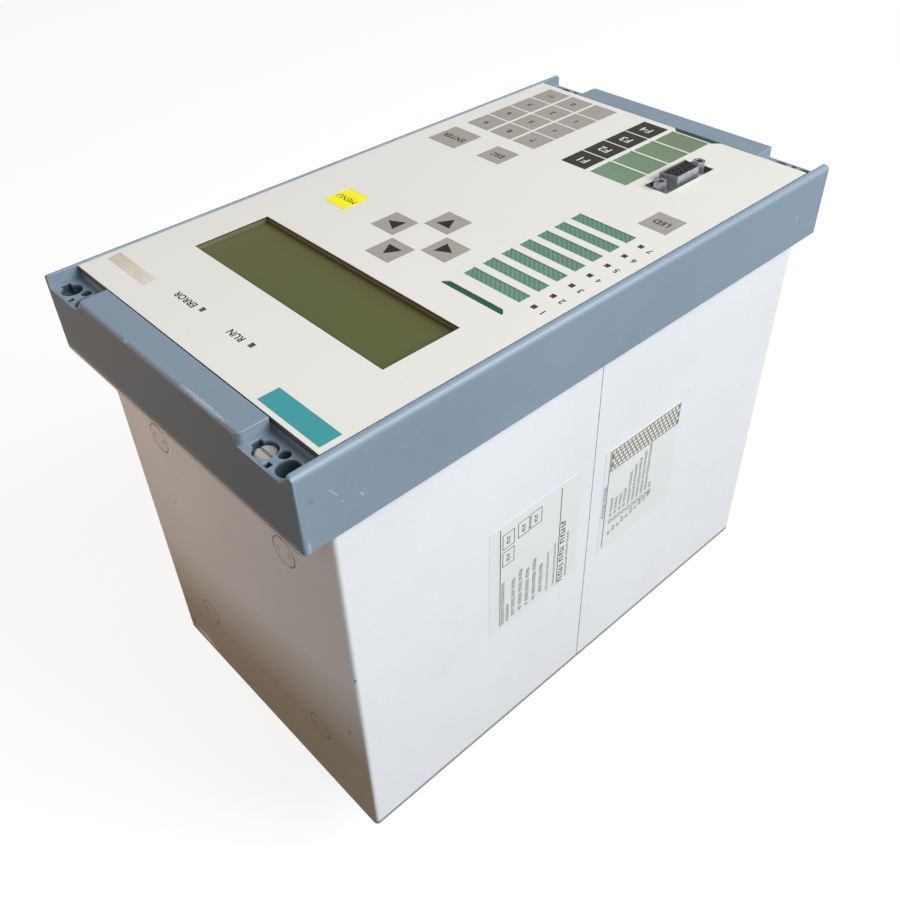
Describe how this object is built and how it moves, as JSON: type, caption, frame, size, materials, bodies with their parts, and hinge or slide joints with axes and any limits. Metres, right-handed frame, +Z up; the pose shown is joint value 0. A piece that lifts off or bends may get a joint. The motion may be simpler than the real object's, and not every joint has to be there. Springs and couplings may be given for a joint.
{
  "type": "protection relay",
  "caption": "Flush-mounting protection relay: blue-grey front frame with key foil and display, white folded sheet case, terminal blocks at the rear. The keys press in.",
  "frame": {"origin": "middle of the four panel slots, on the back face of the mounting flanges, where the panel's face lies", "axes": "+Y into the panel, towards the terminals; +Z up; +X to the right as seen from the front"},
  "size_m": [0.15, 0.2394, 0.2668],
  "materials": {
    "frame_plastic": "satin blue-grey moulded plastic",
    "front_foil": "smooth satin off-white foil",
    "plate_metal": "plain rolled aluminium",
    "display_glass": "olive display glass, unlit and opaque",
    "display_bezel": "dark coated bezel and board",
    "status_lens": "unlit lamp lens",
    "indicator_lens": "unlit dark red lamp lens",
    "lamp_label": "green label strip under film",
    "function_label": "green label strip under film",
    "zinc_steel": "zinc-plated steel",
    "port_metal": "tin-plated pressed steel",
    "port_plastic": "black moulded insert",
    "key_grey": "warm grey printed key",
    "key_dark": "near-black printed key",
    "key_yellow": "yellow printed key",
    "case_paint": "white orange-peel powder paint",
    "rear_sheet": "zinc-plated sheet",
    "board_green": "green solder resist",
    "component_black": "black moulded component",
    "winding": "taped copper winding on a core",
    "relay_cover": "pale relay cover",
    "capacitor_sleeve": "blue sleeve",
    "battery_sleeve": "yellow sleeve",
    "cable_grey": "grey ribbon cable",
    "guide_plastic": "pale moulded guide",
    "terminal_black": "black moulded terminal block",
    "earth_brass": "brass screw and washer"
  },
  "bodies": {
    "case": {"front_frame": "frame_plastic", "front_plate": "plate_metal", "front_foil": "front_foil", "display_glass": "display_glass", "display_module": "display_bezel", "status_leds": "status_lens", "indicator_leds": "indicator_lens", "led_label_strip": "lamp_label", "function_label_strip": "function_label", "port_shell": "port_metal", "port_insert": "port_plastic", "port_posts": "zinc_steel", "front_board": "board_green", "board_spacers": "zinc_steel", "key_switches": "component_black", "cover_screws": "zinc_steel", "upper_shell": "case_paint", "lower_shell": "case_paint", "seam_straps": "rear_sheet", "rear_panel": "rear_sheet", "rear_panel_screws": "zinc_steel", "processor_board": "board_green", "input_output_board": "board_green", "logic_chips": "component_black", "input_transformers": "winding", "output_relays": "relay_cover", "supply_transformer": "winding", "supply_capacitors": "capacitor_sleeve", "buffer_battery": "battery_sleeve", "ribbon_cables": "cable_grey", "card_guides": "guide_plastic", "current_terminal_block": "terminal_black", "signal_terminal_blocks": "terminal_black", "terminal_screws": "zinc_steel", "earth_screw": "earth_brass", "rear_port": "port_metal"},
    "key_point": {"key_point": "key_grey"},
    "key_0": {"key_0": "key_grey"},
    "key_sign": {"key_sign": "key_grey"},
    "key_1": {"key_1": "key_grey"},
    "key_2": {"key_2": "key_grey"},
    "key_3": {"key_3": "key_grey"},
    "key_4": {"key_4": "key_grey"},
    "key_5": {"key_5": "key_grey"},
    "key_6": {"key_6": "key_grey"},
    "key_7": {"key_7": "key_grey"},
    "key_8": {"key_8": "key_grey"},
    "key_9": {"key_9": "key_grey"},
    "key_right": {"key_right": "key_grey"},
    "key_up": {"key_up": "key_grey"},
    "key_left": {"key_left": "key_grey"},
    "key_down": {"key_down": "key_grey"},
    "key_enter": {"key_enter": "key_grey"},
    "key_escape": {"key_escape": "key_grey"},
    "key_led": {"key_led": "key_grey"},
    "key_f1": {"key_f1": "key_dark"},
    "key_f2": {"key_f2": "key_dark"},
    "key_f3": {"key_f3": "key_dark"},
    "key_f4": {"key_f4": "key_dark"},
    "key_menu": {"key_menu": "key_yellow"}
  },
  "joints": [
    {"name": "key_point_press", "type": "slide", "parent": "case", "child": "key_point", "axis": [0, 1, 0], "range_m": [0, 0.0004], "stiffness_N_per_m": 4000},
    {"name": "key_0_press", "type": "slide", "parent": "case", "child": "key_0", "axis": [0, 1, 0], "range_m": [0, 0.0004], "stiffness_N_per_m": 4000},
    {"name": "key_sign_press", "type": "slide", "parent": "case", "child": "key_sign", "axis": [0, 1, 0], "range_m": [0, 0.0004], "stiffness_N_per_m": 4000},
    {"name": "key_1_press", "type": "slide", "parent": "case", "child": "key_1", "axis": [0, 1, 0], "range_m": [0, 0.0004], "stiffness_N_per_m": 4000},
    {"name": "key_2_press", "type": "slide", "parent": "case", "child": "key_2", "axis": [0, 1, 0], "range_m": [0, 0.0004], "stiffness_N_per_m": 4000},
    {"name": "key_3_press", "type": "slide", "parent": "case", "child": "key_3", "axis": [0, 1, 0], "range_m": [0, 0.0004], "stiffness_N_per_m": 4000},
    {"name": "key_4_press", "type": "slide", "parent": "case", "child": "key_4", "axis": [0, 1, 0], "range_m": [0, 0.0004], "stiffness_N_per_m": 4000},
    {"name": "key_5_press", "type": "slide", "parent": "case", "child": "key_5", "axis": [0, 1, 0], "range_m": [0, 0.0004], "stiffness_N_per_m": 4000},
    {"name": "key_6_press", "type": "slide", "parent": "case", "child": "key_6", "axis": [0, 1, 0], "range_m": [0, 0.0004], "stiffness_N_per_m": 4000},
    {"name": "key_7_press", "type": "slide", "parent": "case", "child": "key_7", "axis": [0, 1, 0], "range_m": [0, 0.0004], "stiffness_N_per_m": 4000},
    {"name": "key_8_press", "type": "slide", "parent": "case", "child": "key_8", "axis": [0, 1, 0], "range_m": [0, 0.0004], "stiffness_N_per_m": 4000},
    {"name": "key_9_press", "type": "slide", "parent": "case", "child": "key_9", "axis": [0, 1, 0], "range_m": [0, 0.0004], "stiffness_N_per_m": 4000},
    {"name": "key_right_press", "type": "slide", "parent": "case", "child": "key_right", "axis": [0, 1, 0], "range_m": [0, 0.0004], "stiffness_N_per_m": 4000},
    {"name": "key_up_press", "type": "slide", "parent": "case", "child": "key_up", "axis": [0, 1, 0], "range_m": [0, 0.0004], "stiffness_N_per_m": 4000},
    {"name": "key_left_press", "type": "slide", "parent": "case", "child": "key_left", "axis": [0, 1, 0], "range_m": [0, 0.0004], "stiffness_N_per_m": 4000},
    {"name": "key_down_press", "type": "slide", "parent": "case", "child": "key_down", "axis": [0, 1, 0], "range_m": [0, 0.0004], "stiffness_N_per_m": 4000},
    {"name": "key_enter_press", "type": "slide", "parent": "case", "child": "key_enter", "axis": [0, 1, 0], "range_m": [0, 0.0004], "stiffness_N_per_m": 4000},
    {"name": "key_escape_press", "type": "slide", "parent": "case", "child": "key_escape", "axis": [0, 1, 0], "range_m": [0, 0.0004], "stiffness_N_per_m": 4000},
    {"name": "key_led_press", "type": "slide", "parent": "case", "child": "key_led", "axis": [0, 1, 0], "range_m": [0, 0.0004], "stiffness_N_per_m": 4000},
    {"name": "key_f1_press", "type": "slide", "parent": "case", "child": "key_f1", "axis": [0, 1, 0], "range_m": [0, 0.0004], "stiffness_N_per_m": 4000},
    {"name": "key_f2_press", "type": "slide", "parent": "case", "child": "key_f2", "axis": [0, 1, 0], "range_m": [0, 0.0004], "stiffness_N_per_m": 4000},
    {"name": "key_f3_press", "type": "slide", "parent": "case", "child": "key_f3", "axis": [0, 1, 0], "range_m": [0, 0.0004], "stiffness_N_per_m": 4000},
    {"name": "key_f4_press", "type": "slide", "parent": "case", "child": "key_f4", "axis": [0, 1, 0], "range_m": [0, 0.0004], "stiffness_N_per_m": 4000},
    {"name": "key_menu_press", "type": "slide", "parent": "case", "child": "key_menu", "axis": [0, 1, 0], "range_m": [0, 0.0004], "stiffness_N_per_m": 4000}
  ]
}
